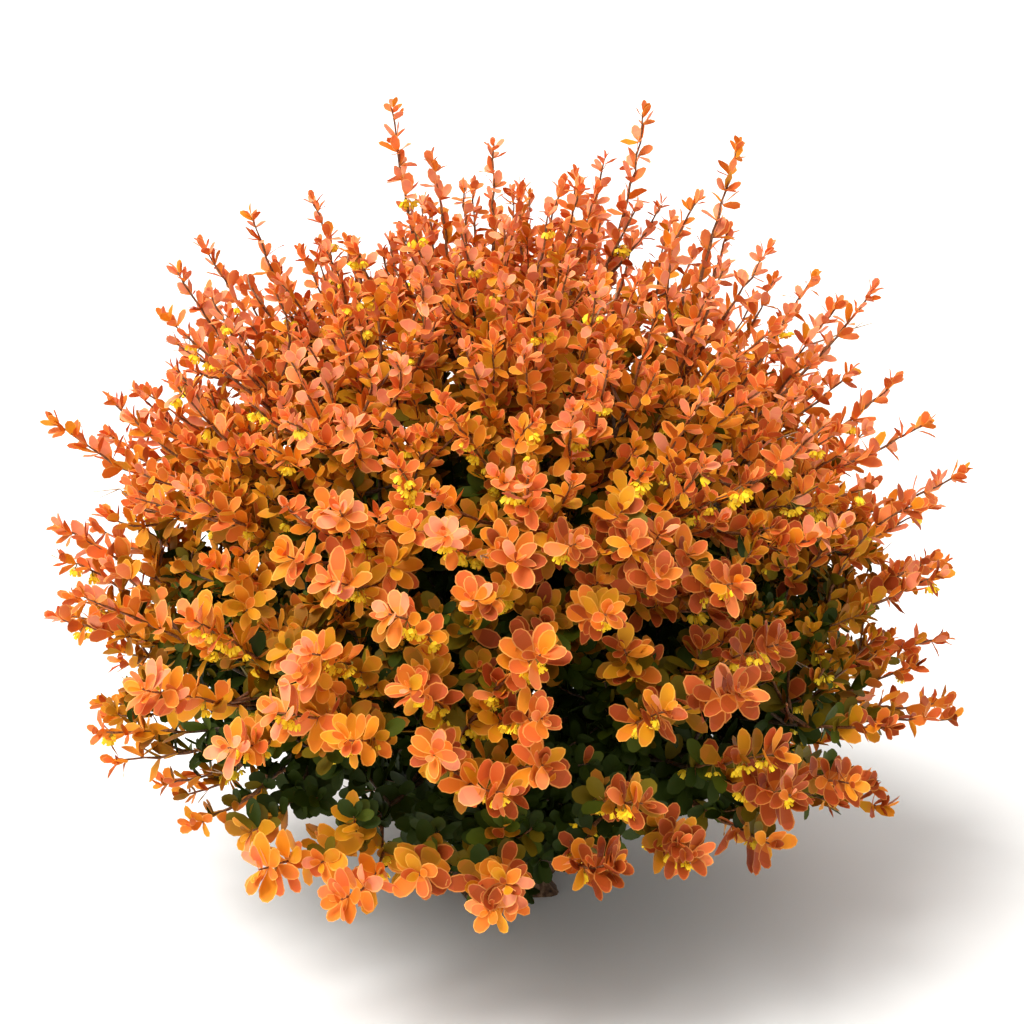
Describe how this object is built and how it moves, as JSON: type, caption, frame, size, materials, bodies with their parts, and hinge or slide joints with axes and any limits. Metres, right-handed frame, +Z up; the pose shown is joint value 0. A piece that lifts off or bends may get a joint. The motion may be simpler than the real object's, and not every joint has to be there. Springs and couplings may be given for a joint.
{
  "type": "japanese barberry shrub",
  "caption": "Dense domed deciduous shrub in orange autumn leaf, with arching leafy shoots over a short hidden stem, rooted in the ground.",
  "frame": {"origin": "on the ground, in the middle of the flat cut under the short stem", "axes": "+Z up along the stem; the picture's view looks along +Y, with +X to its right"},
  "size_m": [0.8208, 0.831, 0.7009],
  "materials": {
    "bark": "matt, finely ridged bark",
    "foliage": "matt leaves, coral and orange at the tips to olive green inside"
  },
  "bodies": {
    "root": {"stem": "bark", "cane_top": "bark", "cane_upper_1": "bark", "cane_upper_2": "bark", "cane_upper_3": "bark", "cane_upper_4": "bark", "cane_upper_5": "bark", "cane_skirt_1": "bark", "cane_skirt_2": "bark", "cane_skirt_3": "bark", "cane_skirt_4": "bark", "cane_skirt_5": "bark", "cane_skirt_6": "bark", "cane_skirt_7": "bark", "cane_skirt_8": "bark", "cane_skirt_9": "bark", "foliage_top": "foliage", "foliage_upper_1": "foliage", "foliage_upper_2": "foliage", "foliage_upper_3": "foliage", "foliage_upper_4": "foliage", "foliage_upper_5": "foliage", "foliage_skirt_1": "foliage", "foliage_skirt_2": "foliage", "foliage_skirt_3": "foliage", "foliage_skirt_4": "foliage", "foliage_skirt_5": "foliage", "foliage_skirt_6": "foliage", "foliage_skirt_7": "foliage", "foliage_skirt_8": "foliage", "foliage_skirt_9": "foliage"}
  },
  "joints": []
}
